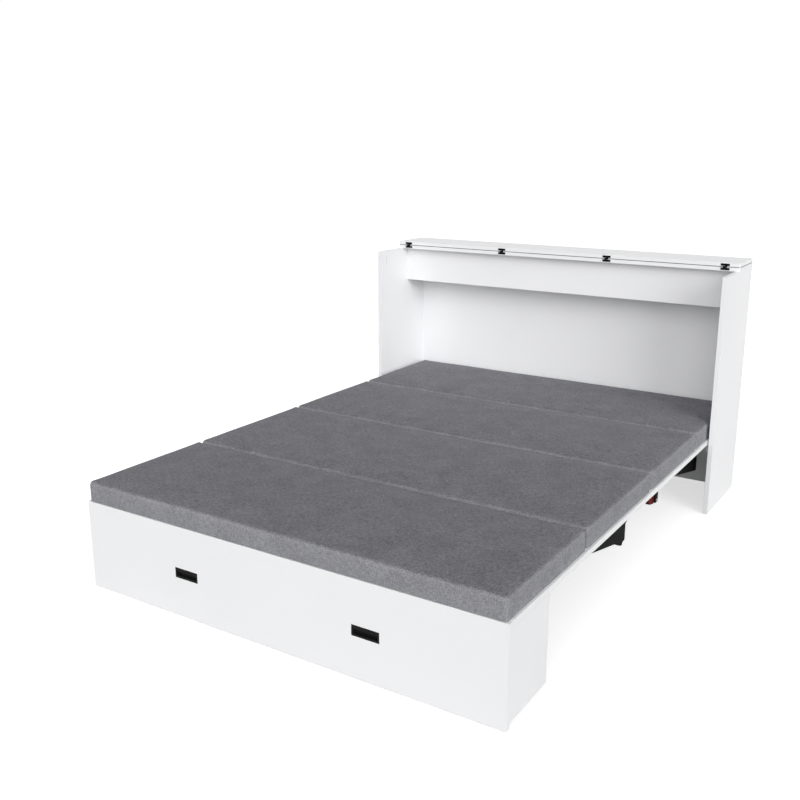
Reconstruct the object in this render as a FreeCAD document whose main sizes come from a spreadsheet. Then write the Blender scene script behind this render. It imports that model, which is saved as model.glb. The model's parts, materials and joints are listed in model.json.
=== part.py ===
"""Cabinet bed, opened out: chest with a double-folded lid, deck on steel rails, foot box, four pads.

Millimetres. X runs across the bed, Y from the foot towards the chest, Z up from the floor.
The origin lies on the floor under the middle of the opened bed.
"""
import FreeCAD
import Part
import os

V = FreeCAD.Vector
doc = FreeCAD.newDocument("cabinet_bed")
sheet = doc.addObject("Spreadsheet::Sheet", "dims")

# ------------------------------------------------------------------ driving sizes
SIZES = [
    ("board", 18.0, "thickness of the melamine boards"),
    ("chest_front", 1773.0, "chest's front edge, from the foot"),
    ("chest_depth", 393.0, "depth of the chest's side panels"),
    ("chest_height", 967.0, "height of the chest's side panels"),
    ("side_gap", 4.5, "running gap between deck and side panel"),
    ("back_board", 10.0, "thickness of the back panel"),
    ("valance_drop", 156.0, "height of the rail under the lid"),
    ("valance_setback", 142.0, "valance's distance to the back panel"),
    ("slot_front", 45.0, "catch slot, from the side panel's front edge"),
    ("slot_level", 61.0, "catch slot's foot, under the side panel's top"),
    ("slot_wide", 3.0, "width of a catch slot"),
    ("slot_long", 37.0, "length of a catch slot"),
    ("slot_deep", 4.0, "depth of a catch slot"),
    ("ledger_high", 40.0, "height of the ledgers that carry the deck"),
    ("ledger_front", 30.0, "side ledger's end, behind the chest's front"),
    ("post", 22.0, "side of a square corner post"),
    ("stretcher_deep", 60.0, "depth of the top stretcher"),
    ("lid_depth", 205.0, "depth of one lid leaf"),
    ("lid_board", 16.4, "thickness of one lid leaf"),
    ("lid_gap", 0.7, "gap between the folded lid leaves"),
    ("lid_round", 3.0, "radius of a lid leaf's upright corners"),
    ("deck_width", 1560.0, "width of deck and foot box"),
    ("deck_top", 311.0, "height of the deck's top face"),
    ("section_a", 523.0, "length of the foot section"),
    ("section_b", 577.0, "length of the second section"),
    ("section_c", 528.0, "length of the third section"),
    ("joint_gap", 1.0, "gap between two deck boards"),
    ("foot_depth", 244.0, "depth of the foot box"),
    ("foot_toe", 3.0, "foot panel's clearance over the floor"),
    ("foot_lift", 21.0, "clearance under the foot box's sides"),
    ("foot_floor", 60.0, "underside of the foot box's floor board"),
    ("foot_drop", 1.5, "foot panel's top edge, under the deck's top"),
    ("panel_gap", 0.5, "gap behind the foot panel, before the deck"),
    ("seat_gap", 0.4, "glue line under the deck"),
    ("pad_thick", 71.0, "height of a mattress pad at its rim"),
    ("pad_crown", 4.0, "rise of a pad's middle over its rim"),
    ("pad_inset", 10.0, "pad's side, in from the deck's edge"),
    ("pad_seat", 0.3, "pads start this far over the deck board"),
    ("pad_gap", 1.6, "gap between two pads"),
    ("pad_corner", 26.0, "radius of a pad's upright corners"),
    ("pad_tuck", 7.0, "how far a pad's side draws in at the deck"),
    ("pad_shoulder", 24.0, "how far a pad's side draws in at its rim"),
    ("crown_ring", 70.0, "ring of a pad's top, in from its side"),
    ("crown_flat", 150.0, "flat of a pad's top, in from its side"),
    ("pull_wide", 94.0, "length of a flush pull"),
    ("pull_high", 34.0, "height of a flush pull"),
    ("pull_level", 152.0, "height of a pull's middle"),
    ("pull_offset", 341.0, "pull's middle, off the centre line"),
    ("pull_wall", 2.5, "wall of a pull's dish"),
    ("pull_flange", 4.0, "flange of a pull around its dish"),
    ("pull_rim", 1.2, "thickness of a pull's flange"),
    ("pull_deep", 15.6, "depth of a pull, with its floor"),
    ("pull_floor", 3.1, "thickness of a pull's floor"),
    ("pull_fit", 0.3, "clearance around a pull's dish"),
    ("rim_fit", 0.2, "clearance around a pull's flange"),
    ("lip_high", 6.0, "height of a pull's finger lip"),
    ("lip_thick", 2.4, "thickness of a pull's finger lip"),
    ("embed", 0.5, "how deep a fused piece goes into the next"),
    ("rail_inset", 150.0, "rail's outer face, in from the deck's edge"),
    ("rail_wide", 30.0, "width of a deck rail"),
    ("rail_deep", 40.0, "depth of a deck rail"),
    ("rail_wall", 2.0, "wall of a deck rail"),
    ("cross_wide", 40.0, "width of a cross rail"),
    ("brace_inset", 60.0, "brace plate's outer face, in from the edge"),
    ("brace_plate", 4.0, "thickness of a brace plate"),
    ("brace_foot", 1020.0, "upright edge of the front brace plates"),
    ("brace_pitch", 849.0, "distance from front to rear brace plates"),
    ("brace_length", 470.0, "length of a brace plate under the deck"),
    ("brace_drop", 142.0, "depth of a brace plate"),
    ("brace_seat", 0.3, "gap between a brace plate and the deck"),
    ("brace_head", 14.0, "height of a brace plate's upper corner"),
    ("brace_toe", 22.0, "height of a brace plate's thin end"),
    ("brace_step", 6.0, "upright edge's step, in from the corner"),
    ("brace_heel", 8.0, "low corner, in from the upper corner"),
    ("brace_sole", 78.0, "end of the low edge, from the corner"),
    ("sole_rise", 6.0, "rise of the low edge at its end"),
    ("brace_waist", 160.0, "bend of the slanting edge, from the corner"),
    ("waist_rise", 34.0, "height of that bend over the low corner"),
    ("lug_wide", 18.0, "width of a brace plate's foot block"),
    ("lug_long", 32.0, "length of the foot block"),
    ("lug_high", 22.0, "height of the foot block"),
    ("lug_back", 64.0, "foot block's front end, from the corner"),
    ("lug_drop", 10.0, "foot block's reach under the plate"),
    ("flange_gauge", 3.0, "thickness of a brace plate's top flange"),
    ("flange_end", 10.0, "top flange's ends, in from the plate's"),
    ("wheel_radius", 20.0, "radius of a caster wheel"),
    ("wheel_wide", 16.0, "width of a caster wheel"),
    ("wheel_inset", 90.0, "caster's middle, in from the foot box's side"),
    ("wheel_front", 62.0, "front axle, from the foot panel's face"),
    ("wheel_rear", 54.0, "rear axle, from the foot box's rear face"),
    ("wheel_clear", 1.0, "gap between a wheel and its fork"),
    ("fork_gauge", 3.0, "gauge of a caster fork"),
    ("fork_wide", 44.0, "width of a fork's mounting plate"),
    ("fork_long", 40.0, "length of a fork's mounting plate"),
    ("cheek_long", 22.0, "length of a fork's cheek"),
    ("cheek_under", 8.0, "cheek's reach under its axle"),
    ("axle_radius", 4.0, "radius of a caster axle"),
    ("axle_proud", 1.0, "axle's reach past its fork"),
    ("axle_play", 0.06, "radial running clearance on pins"),
    ("hinge_leaf", 2.0, "gauge of a lid hinge leaf"),
    ("hinge_wide", 35.0, "width of a lid hinge leaf"),
    ("hinge_barrel", 3.0, "radius of a lid hinge barrel"),
    ("hinge_high", 9.0, "height of a hinge leaf's plate"),
    ("hinge_reach", 4.0, "plate's distance to the pin's axis"),
    ("hinge_clear", 0.2, "clearance of barrel and neck to the lid"),
    ("hinge_left", 54.5, "left hinge's middle, from the lid's end"),
    ("hinge_right", 58.5, "right hinge's middle, from the lid's end"),
    ("hinge_pitch", 497.0, "outer hinge to the next one"),
    ("knuckle", 7.8, "length of one knuckle"),
    ("knuckle_play", 0.4, "gap between two knuckles"),
    ("neck_low", 0.6, "neck's near edge, off the pin's axis"),
    ("neck_high", 5.4, "height of the neck"),
    ("pin_radius", 1.2, "radius of a lid hinge pin"),
    ("pin_proud", 0.5, "pin's reach past its knuckles"),
    ("latch_level", 252.0, "height of the latch lever's pin"),
    ("latch_place", 1182.0, "latch lever's pin, from the foot"),
    ("latch_wide", 14.0, "width of the latch lever"),
    ("latch_inset", 30.0, "lever's inner face, in from the deck's edge"),
    ("lever_long", 92.0, "lever's far tip, from its pin"),
    ("lever_crown", 60.0, "lever's highest edge, from its pin"),
    ("lever_nose", 9.0, "lever's reach behind its pin"),
    ("lever_sole", 18.0, "lever's lowest corner, from its pin"),
    ("lever_grip", 55.0, "grip's lower edge, from the pin"),
    ("tip_drop", 9.0, "tip's distance under the deck"),
    ("crown_drop", 5.0, "highest edge's distance under the deck"),
    ("nose_drop", 16.0, "nose's distance under the deck"),
    ("nose_under", 6.0, "nose's foot, under the pin"),
    ("sole_under", 11.0, "lowest corner, under the pin"),
    ("grip_under", 3.0, "grip's lower edge, under the pin"),
    ("cheek_gauge", 4.0, "gauge of the latch bracket"),
    ("latch_cheek", 26.0, "length of the latch bracket"),
    ("latch_foot", 10.0, "latch bracket's reach past its pin"),
    ("latch_clear", 1.0, "gap between lever and bracket"),
    ("latch_seat", 0.3, "gap between bracket and deck"),
    ("pin_end", 2.0, "latch pin's reach past its bracket"),
    ("drawer_wall", 12.0, "thickness of the drawer's sides and back"),
    ("drawer_base", 6.0, "thickness of the drawer's bottom"),
    ("drawer_low", 88.0, "underside of the drawer's sides"),
    ("drawer_top", 268.0, "top edge of the drawer's sides"),
    ("runner_rail", 6.0, "thickness of one half of a drawer runner"),
    ("runner_play", 0.5, "gap between the runner's two halves"),
    ("runner_deep", 35.0, "height of a drawer runner"),
    ("runner_start", 4.0, "runner's ends, in from the drawer's"),
    ("drawer_gap", 8.0, "drawer's clearance to the rear panel"),
]
for row, (alias, value, note) in enumerate(SIZES, start=1):
    sheet.set("A%d" % row, note)
    sheet.set("B%d" % row, str(value))
    sheet.setAlias("B%d" % row, alias)
doc.recompute()
D = {alias: sheet.get(alias) for alias, value, note in SIZES}

# ------------------------------------------------------------------ derived expressions
LENGTH = "(dims.chest_front + dims.chest_depth)"
FOOT = "(-%s / 2)" % LENGTH
CHEST = "(%s + dims.chest_front)" % FOOT
REAR = "(%s / 2)" % LENGTH
BACK = "(%s - dims.back_board)" % REAR
HALF = "(dims.deck_width / 2)"
CHEST_IN = "(%s + dims.side_gap)" % HALF
CHEST_OUT = "(%s + dims.board)" % CHEST_IN
DECK_LOW = "(dims.deck_top - dims.board)"
SEAM_A = "(%s + dims.section_a)" % FOOT
SEAM_B = "(%s + dims.section_b)" % SEAM_A
SEAM_C = "(%s + dims.section_c)" % SEAM_B
LID_FRONT = "(%s - dims.lid_depth)" % REAR
VALANCE = "(%s - dims.valance_setback - dims.board / 2)" % BACK
FOOT_IN = "(%s + dims.board)" % FOOT
FOOT_REAR = "(%s + dims.foot_depth)" % FOOT
RAIL_OUT = "(%s - dims.rail_inset)" % HALF


def number(expression):
    """Works out one of the expressions above with the sheet's present values."""
    text = expression.replace("dims.", "")
    for alias in sorted(D, key=len, reverse=True):
        text = text.replace(alias, "(%r)" % D[alias])
    total = FreeCAD.Units.Quantity(text).Value
    return float(total)


def bind(thing, **expressions):
    """Ties each named property to its expression."""
    for name, expression in expressions.items():
        thing.setExpression(name, expression)


def place(thing, x, y, z):
    """Binds the object's base point to three expressions."""
    thing.setExpression("Placement.Base.x", x)
    thing.setExpression("Placement.Base.y", y)
    thing.setExpression("Placement.Base.z", z)


def box(name, x, y, z, wide, deep, high):
    """A board: its low corner and its three sizes are expressions."""
    board = doc.addObject("Part::Box", name)
    bind(board, Length=wide, Width=deep, Height=high)
    place(board, x, y, z)
    return board


def rod(name, x, y, z, radius, length, axis=V(1, 0, 0)):
    """A round bar along axis, starting at x, y, z."""
    bar = doc.addObject("Part::Cylinder", name)
    bind(bar, Radius=radius, Height=length)
    turn = FreeCAD.Rotation(V(0, 0, 1), axis)
    bar.Placement = FreeCAD.Placement(V(0, 0, 0), turn)
    place(bar, x, y, z)
    return bar


def cut(name, base, tool):
    """Base less tool."""
    result = doc.addObject("Part::Cut", name)
    result.Base = base
    result.Tool = tool
    return result


def join(name, pieces):
    """Pieces that are one solid."""
    result = doc.addObject("Part::MultiFuse", name)
    result.Shapes = pieces
    result.Refine = True
    return result


def group(name, pieces):
    """Separate solids that share one node."""
    result = doc.addObject("Part::Compound", name)
    result.Links = pieces
    return result


def formed(name, shape):
    """A piece whose outline is drawn by this script from the sheet's sizes."""
    piece = doc.addObject("Part::Feature", name)
    piece.Shape = shape
    return piece


NODES = []


def node(piece, label):
    """Gives a finished sub-part its own label, which names its file."""
    piece.Label = label
    NODES.append(piece)
    return piece


SIDES = (("left", -1), ("right", 1))


def across(side, inner, width):
    """Low X of a piece whose inner face is at +/- inner and that runs outwards by width."""
    return inner if side > 0 else "-(%s) - (%s)" % (inner, width)


# ------------------------------------------------------------------ chest
def chest():
    for word, side in SIDES:
        panel = box("side_board_" + word, across(side, CHEST_IN, "dims.board"), CHEST, "0",
                    "dims.board", "dims.chest_depth", "dims.chest_height")
        # narrow catch slot near the top front corner of the inner face
        slot = box("catch_slot_" + word, across(side, CHEST_IN + " - 1", "dims.slot_deep + 1"),
                   CHEST + " + dims.slot_front", "dims.chest_height - dims.slot_level",
                   "dims.slot_deep + 1", "dims.slot_wide", "dims.slot_long")
        node(cut("side_" + word, panel, slot), "side_panel_" + word)
        node(box("ledger_" + word, across(side, CHEST_IN + " - dims.board", "dims.board"),
                 CHEST + " + dims.ledger_front", DECK_LOW + " - dims.ledger_high",
                 "dims.board", BACK + " - " + CHEST + " - dims.ledger_front - dims.post",
                 "dims.ledger_high"), "deck_ledger_" + word)
        node(box("corner_post_" + word, across(side, CHEST_IN + " - dims.post", "dims.post"),
                 BACK + " - dims.post", "0", "dims.post", "dims.post", DECK_LOW),
             "corner_post_" + word)
    node(box("back", "-" + CHEST_IN, BACK, "0", "2 * " + CHEST_IN, "dims.back_board",
             "dims.chest_height"), "back_panel")
    node(box("valance", "-" + CHEST_IN, VALANCE, "dims.chest_height - dims.valance_drop",
             "2 * " + CHEST_IN, "dims.board", "dims.valance_drop"), "valance_rail")
    node(box("top_rail", "-" + CHEST_IN, BACK + " - dims.stretcher_deep",
             "dims.chest_height - dims.board", "2 * " + CHEST_IN, "dims.stretcher_deep",
             "dims.board"), "top_stretcher")
    node(box("back_ledge", "-" + CHEST_IN + " + dims.post", BACK + " - dims.board",
             DECK_LOW + " - dims.ledger_high", "2 * (" + CHEST_IN + " - dims.post)",
             "dims.board", "dims.ledger_high"), "back_ledger")


def softened(name, board, radius):
    """Rounds a board's four upright corners."""
    doc.recompute()
    rounded = doc.addObject("Part::Fillet", name)
    rounded.Base = board
    edges = board.Shape.Edges
    upright = [i + 1 for i, e in enumerate(edges)
               if abs(e.tangentAt(e.FirstParameter).z) > 0.99]
    rounded.Edges = [(i, radius, radius) for i in upright]
    return rounded


LID_AXIS_Z = "(dims.chest_height + dims.lid_board + dims.lid_gap / 2)"
LID_AXIS_Y = "(%s - dims.hinge_barrel - dims.hinge_clear)" % LID_FRONT
LID_HINGES = ("(-%s + dims.hinge_left)" % CHEST_OUT,
              "(-%s + dims.hinge_left + dims.hinge_pitch)" % CHEST_OUT,
              "(%s - dims.hinge_right - dims.hinge_pitch)" % CHEST_OUT,
              "(%s - dims.hinge_right)" % CHEST_OUT)
KNUCKLES = "(dims.knuckle + dims.knuckle_play / 2)"     # half the length of a hinge's barrel


def lid():
    """Rear leaf fixed on the chest, front leaf folded back on it, four flag hinges in front."""
    rear = box("rear_leaf_board", "-" + CHEST_OUT, LID_FRONT, "dims.chest_height",
               "2 * " + CHEST_OUT, "dims.lid_depth", "dims.lid_board")
    node(softened("rear_leaf", rear, D["lid_round"]), "lid_rear_leaf")
    front = box("front_leaf_board", "-" + CHEST_OUT, LID_FRONT,
                "dims.chest_height + dims.lid_board + dims.lid_gap", "2 * " + CHEST_OUT,
                "dims.lid_depth", "dims.lid_board")
    node(softened("front_leaf", front, D["lid_round"]), "lid_front_leaf")
    fixed, moving, pins = [], [], []
    plates = {"fixed": LID_AXIS_Z + " - dims.hinge_reach - dims.hinge_high",
              "moving": LID_AXIS_Z + " + dims.hinge_reach"}
    necks = {"fixed": LID_AXIS_Z + " - dims.neck_low - dims.neck_high",
             "moving": LID_AXIS_Z + " + dims.neck_low"}
    for i, middle in enumerate(LID_HINGES):
        # each leaf: its plate, its knuckle, and a neck that joins them
        for word, stock in (("fixed", fixed), ("moving", moving)):
            low = middle + " - " + KNUCKLES
            if word == "moving":
                low += " + dims.knuckle + dims.knuckle_play"
            plate = box("hinge_%s_%d" % (word, i), middle + " - dims.hinge_wide / 2",
                        LID_FRONT + " - dims.hinge_leaf", plates[word], "dims.hinge_wide",
                        "dims.hinge_leaf", "dims.hinge_high")
            neck = box("neck_%s_%d" % (word, i), low, LID_FRONT + " - dims.hinge_leaf",
                       necks[word], "dims.knuckle", "dims.hinge_leaf - dims.hinge_clear",
                       "dims.neck_high")
            barrel = rod("barrel_%s_%d" % (word, i), low, LID_AXIS_Y, LID_AXIS_Z,
                         "dims.hinge_barrel", "dims.knuckle")
            bore = rod("bore_%s_%d" % (word, i), middle + " - 2 * " + KNUCKLES, LID_AXIS_Y,
                       LID_AXIS_Z, "dims.pin_radius + dims.axle_play", "4 * " + KNUCKLES)
            leaf = join("leaf_%s_%d" % (word, i), [plate, neck, barrel])
            stock.append(cut("drilled_%s_%d" % (word, i), leaf, bore))
        pins.append(rod("lid_pin_%d" % i, middle + " - " + KNUCKLES + " - dims.pin_proud",
                        LID_AXIS_Y, LID_AXIS_Z, "dims.pin_radius",
                        "2 * (" + KNUCKLES + " + dims.pin_proud)"))
    node(group("hinges_fixed", fixed), "lid_hinge_lower_leaves")
    node(group("hinges_moving", moving), "lid_hinge_upper_leaves")
    node(group("hinge_pins", pins), "lid_hinge_pins")


# ------------------------------------------------------------------ foot box
def pull_places():
    return (("left", "-dims.pull_offset"), ("right", "dims.pull_offset"))


def foot_box():
    face = box("foot_face", "-" + HALF, FOOT, "dims.foot_toe", "dims.deck_width",
               "dims.board", "dims.deck_top - dims.foot_toe - dims.foot_drop")
    for word, middle in pull_places():
        hole = box("pull_hole_" + word,
                   "%s - dims.pull_wide / 2 + dims.pull_flange - dims.pull_fit" % middle,
                   FOOT + " - 1",
                   "dims.pull_level - dims.pull_high / 2 + dims.pull_flange - dims.pull_fit",
                   "dims.pull_wide - 2 * (dims.pull_flange - dims.pull_fit)",
                   "dims.board + 2", "dims.pull_high - 2 * (dims.pull_flange - dims.pull_fit)")
        face = cut("foot_face_cut_" + word, face, hole)
        rebate = box("pull_rebate_" + word,
                     "%s - dims.pull_wide / 2 - dims.rim_fit" % middle, FOOT + " - 1",
                     "dims.pull_level - dims.pull_high / 2 - dims.rim_fit",
                     "dims.pull_wide + 2 * dims.rim_fit", "dims.pull_rim + 1",
                     "dims.pull_high + 2 * dims.rim_fit")
        face = cut("foot_face_rebate_" + word, face, rebate)
    node(face, "foot_front_panel")
    for word, side in SIDES:
        node(box("foot_side_" + word, across(side, HALF + " - dims.board", "dims.board"),
                 FOOT_IN, "dims.foot_lift", "dims.board", "dims.foot_depth - dims.board",
                 DECK_LOW + " - dims.foot_lift - dims.seat_gap"), "foot_side_" + word)
    node(box("foot_rear", "-" + HALF + " + dims.board", FOOT_REAR + " - dims.board",
             "dims.foot_lift", "dims.deck_width - 2 * dims.board", "dims.board",
             DECK_LOW + " - dims.foot_lift - dims.seat_gap"), "foot_rear_panel")
    node(box("foot_base", "-" + HALF + " + dims.board", FOOT_IN, "dims.foot_floor",
             "dims.deck_width - 2 * dims.board", "dims.foot_depth - 2 * dims.board",
             "dims.board"), "foot_floor_board")


def drawer():
    """Tray behind the foot panel, on a pair of runners inside the foot box."""
    inner = "(%s - dims.board)" % HALF
    gap = "(2 * dims.runner_rail + dims.runner_play)"
    outer = "(%s - %s)" % (inner, gap)
    deep = "(dims.foot_depth - 2 * dims.board - dims.drawer_gap)"
    high = "(dims.drawer_top - dims.drawer_low)"
    for word, side in SIDES:
        node(box("tray_side_" + word, across(side, outer + " - dims.drawer_wall",
                                             "dims.drawer_wall"),
                 FOOT_IN, "dims.drawer_low", "dims.drawer_wall", deep, high),
             "drawer_side_" + word)
        level = "(dims.drawer_low + dims.drawer_top) / 2 - dims.runner_deep / 2"
        start = FOOT_IN + " + dims.runner_start"
        node(box("runner_in_" + word, across(side, outer, "dims.runner_rail"), start,
                 level, "dims.runner_rail", deep + " - 2 * dims.runner_start",
                 "dims.runner_deep"),
             "runner_slide_" + word)
        node(box("runner_out_" + word, across(side, inner + " - dims.runner_rail",
                                              "dims.runner_rail"), start, level,
                 "dims.runner_rail", deep, "dims.runner_deep"), "runner_rail_" + word)
    span = "2 * (%s - dims.drawer_wall)" % outer
    low_x = "-(%s - dims.drawer_wall)" % outer
    node(box("tray_back", low_x, FOOT_IN + " + " + deep + " - dims.drawer_wall",
             "dims.drawer_low + dims.drawer_base", span, "dims.drawer_wall",
             high + " - dims.drawer_base"), "drawer_back")
    node(box("tray_base", low_x, FOOT_IN, "dims.drawer_low", span, deep,
             "dims.drawer_base"), "drawer_bottom")


def flush_pulls():
    """A dish with a thin flange let into the foot panel's face, open to the front."""
    for word, middle in pull_places():
        low_x = "%s - dims.pull_wide / 2" % middle
        low_z = "dims.pull_level - dims.pull_high / 2"
        flange = box("flange_" + word, low_x, FOOT, low_z,
                     "dims.pull_wide", "dims.pull_rim", "dims.pull_high")
        dish = box("dish_" + word, low_x + " + dims.pull_flange",
                   FOOT + " + dims.pull_rim / 2", low_z + " + dims.pull_flange",
                   "dims.pull_wide - 2 * dims.pull_flange",
                   "dims.pull_deep - dims.pull_rim / 2",
                   "dims.pull_high - 2 * dims.pull_flange")
        wall = "(dims.pull_flange + dims.pull_wall)"
        mouth = box("mouth_" + word, low_x + " + " + wall, FOOT + " - 2",
                    low_z + " + " + wall, "dims.pull_wide - 2 * " + wall,
                    "2 + dims.pull_deep - dims.pull_floor", "dims.pull_high - 2 * " + wall)
        # a finger lip hangs across the top of the mouth
        lip = box("lip_" + word, low_x + " + " + wall + " - dims.embed", FOOT,
                  low_z + " + dims.pull_high - " + wall + " - dims.lip_high",
                  "dims.pull_wide - 2 * (" + wall + " - dims.embed)", "dims.lip_thick",
                  "dims.lip_high + dims.embed")
        shell = cut("pull_shell_" + word, join("pull_stock_" + word, [flange, dish]), mouth)
        node(join("pull_" + word, [shell, lip]), "flush_pull_" + word)


def casters():
    """Four fixed casters under the foot box: fork, axle and wheel each."""
    forks, axles = [], []
    middle = "(%s - dims.wheel_inset)" % HALF
    places = [(x, y) for x in ("-" + middle, middle)
              for y in (FOOT + " + dims.wheel_front", FOOT_REAR + " - dims.wheel_rear")]
    inner = "(dims.wheel_wide / 2 + dims.wheel_clear)"
    reach = "(%s + dims.fork_gauge + dims.axle_proud)" % inner
    for i, (x, centre) in enumerate(places, start=1):
        plate = box("fork_plate_%d" % i, x + " - dims.fork_wide / 2",
                    centre + " - dims.fork_long / 2", "dims.foot_floor - dims.fork_gauge",
                    "dims.fork_wide", "dims.fork_long", "dims.fork_gauge")
        cheeks = []
        for word, low in (("a", "%s - %s - dims.fork_gauge" % (x, inner)),
                          ("b", "%s + %s" % (x, inner))):
            # a cheek ends inside the plate, 1 mm up, so that they fuse
            cheeks.append(box("cheek_%s_%d" % (word, i), low,
                              centre + " - dims.cheek_long / 2",
                              "dims.wheel_radius - dims.cheek_under", "dims.fork_gauge",
                              "dims.cheek_long", "dims.foot_floor - dims.fork_gauge + 1"
                              " - dims.wheel_radius + dims.cheek_under"))
        hole = rod("fork_bore_%d" % i, "%s - 2 * %s" % (x, inner), centre,
                   "dims.wheel_radius", "dims.axle_radius", "4 * " + inner)
        forks.append(cut("fork_%d" % i, join("fork_stock_%d" % i, [plate] + cheeks), hole))
        axles.append(rod("axle_%d" % i, "%s - %s" % (x, reach), centre,
                         "dims.wheel_radius", "dims.axle_radius", "2 * " + reach))
        disc = rod("disc_%d" % i, "%s - dims.wheel_wide / 2" % x, centre,
                   "dims.wheel_radius", "dims.wheel_radius", "dims.wheel_wide")
        bore = rod("wheel_bore_%d" % i, "%s - dims.wheel_wide" % x, centre,
                   "dims.wheel_radius", "dims.axle_radius + dims.axle_play",
                   "2 * dims.wheel_wide")
        node(cut("wheel_%d" % i, disc, bore), "caster_wheel_%d" % i)
    node(group("forks", forks), "caster_forks")
    node(group("axles", axles), "caster_axles")


# ------------------------------------------------------------------ deck
def deck():
    half_gap = "dims.joint_gap / 2"
    spans = [("1", FOOT_IN + " + dims.panel_gap", SEAM_A), ("2", SEAM_A, SEAM_B),
             ("3", SEAM_B, SEAM_C), ("4", SEAM_C, BACK)]
    for word, start, end in spans:
        wide = "dims.deck_width"
        node(box("deck_" + word, "-" + HALF, "%s + %s" % (start, half_gap), DECK_LOW,
                 wide, "%s - %s - dims.joint_gap" % (end, start), "dims.board"),
             "deck_board_" + word)
    for word, side in SIDES:
        low = across(side, RAIL_OUT + " - dims.rail_wide", "dims.rail_wide")
        span = "%s - %s" % (BACK + " - dims.board", FOOT_REAR)
        tube = box("rail_tube_" + word, low, FOOT_REAR, DECK_LOW + " - dims.rail_deep",
                   "dims.rail_wide", span, "dims.rail_deep - dims.seat_gap")
        core = box("rail_core_" + word, low + " + dims.rail_wall", FOOT_REAR + " - 1",
                   DECK_LOW + " - dims.rail_deep + dims.rail_wall",
                   "dims.rail_wide - 2 * dims.rail_wall", span + " + 2",
                   "dims.rail_deep - 2 * dims.rail_wall - dims.seat_gap")
        node(cut("rail_" + word, tube, core), "deck_rail_" + word)
    for word, seam in (("1", SEAM_A), ("2", SEAM_B), ("3", SEAM_C)):
        node(box("cross_" + word, "-(%s - dims.rail_wide)" % RAIL_OUT,
                 seam + " - dims.cross_wide / 2", DECK_LOW + " - dims.rail_deep",
                 "2 * (%s - dims.rail_wide)" % RAIL_OUT, "dims.cross_wide",
                 "dims.rail_deep - dims.seat_gap"), "cross_rail_" + word)


def profile_plate(points, x, thick):
    """A plate of the given thickness from an outline in the Y-Z plane."""
    wire = Part.makePolygon([V(x, y, z) for y, z in points + points[:1]])
    return Part.Face(wire).extrude(V(thick, 0, 0))


def braces():
    """Black plates under the deck's edge, with a small foot block at the low corner."""
    top = number(DECK_LOW) - D["brace_seat"]
    foot = number(FOOT)
    for place_word, shift in (("front", 0.0), ("rear", D["brace_pitch"])):
        heel = foot + D["brace_foot"] + shift
        low = top - D["brace_drop"]
        toe = heel - D["brace_length"]
        outline = [(toe, top), (heel, top), (heel, top - D["brace_head"]),
                   (heel - D["brace_step"], top - D["brace_head"]),
                   (heel - D["brace_heel"], low),
                   (heel - D["brace_sole"], low + D["sole_rise"]),
                   (heel - D["brace_waist"], low + D["waist_rise"]),
                   (toe, top - D["brace_toe"])]
        for word, side in SIDES:
            face = number(HALF) - D["brace_inset"]
            x = face - D["brace_plate"] if side > 0 else -face
            plate = profile_plate(outline, x, D["brace_plate"])
            inner = x - D["lug_wide"] if side > 0 else x + D["brace_plate"]
            lug = Part.makeBox(D["lug_wide"], D["lug_long"], D["lug_high"],
                               V(inner, heel - D["lug_back"], low - D["lug_drop"]))
            flange = Part.makeBox(D["lug_wide"], D["brace_length"] - 2 * D["flange_end"],
                                  D["flange_gauge"],
                                  V(inner, toe + D["flange_end"], top - D["flange_gauge"]))
            whole = plate.fuse([lug, flange]).removeSplitter()
            node(formed("brace_%s_%s" % (place_word, word), whole),
                 "brace_plate_%s_%s" % (place_word, word))


def latch():
    """Red lever on a black lug under the deck's right edge, with its bare steel pin."""
    y = number(FOOT) + D["latch_place"]
    z = D["latch_level"]
    top = number(DECK_LOW)
    x = number(HALF) - D["latch_inset"]
    outline = [(y - D["lever_long"], top - D["tip_drop"]),
               (y - D["lever_crown"], top - D["crown_drop"]),
               (y + D["lever_nose"], top - D["nose_drop"]),
               (y + D["lever_nose"], z - D["nose_under"]),
               (y - D["lever_sole"], z - D["sole_under"]),
               (y - D["lever_grip"], z - D["grip_under"])]
    lever = profile_plate(outline, x, D["latch_wide"])
    gauge, clear, foot = D["cheek_gauge"], D["latch_clear"], D["latch_foot"]
    across_all = D["latch_wide"] + 2 * (gauge + clear)

    def through(radius, past):
        """A bar along the pin's axis, past the bracket on both sides."""
        start = V(x - gauge - clear - past, y, z)
        return Part.makeCylinder(radius, across_all + 2 * past, start, V(1, 0, 0))

    bore = through(D["axle_radius"] + D["axle_play"], across_all)
    node(formed("lever", lever.cut(bore)), "latch_lever")
    cheeks = []
    for low in (x - gauge - clear, x + D["latch_wide"] + clear):
        cheeks.append(Part.makeBox(gauge, D["latch_cheek"], top - D["latch_seat"] - z + foot,
                                   V(low, y - foot, z - foot)))
    saddle = Part.makeBox(across_all, D["latch_cheek"], gauge,
                          V(x - gauge - clear, y - foot, top - D["latch_seat"] - gauge))
    bracket = saddle.fuse(cheeks).cut(through(D["axle_radius"], across_all))
    node(formed("latch_lug", bracket.removeSplitter()), "latch_bracket")
    node(formed("latch_bar", through(D["axle_radius"], D["pin_end"])), "latch_pin")


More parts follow.
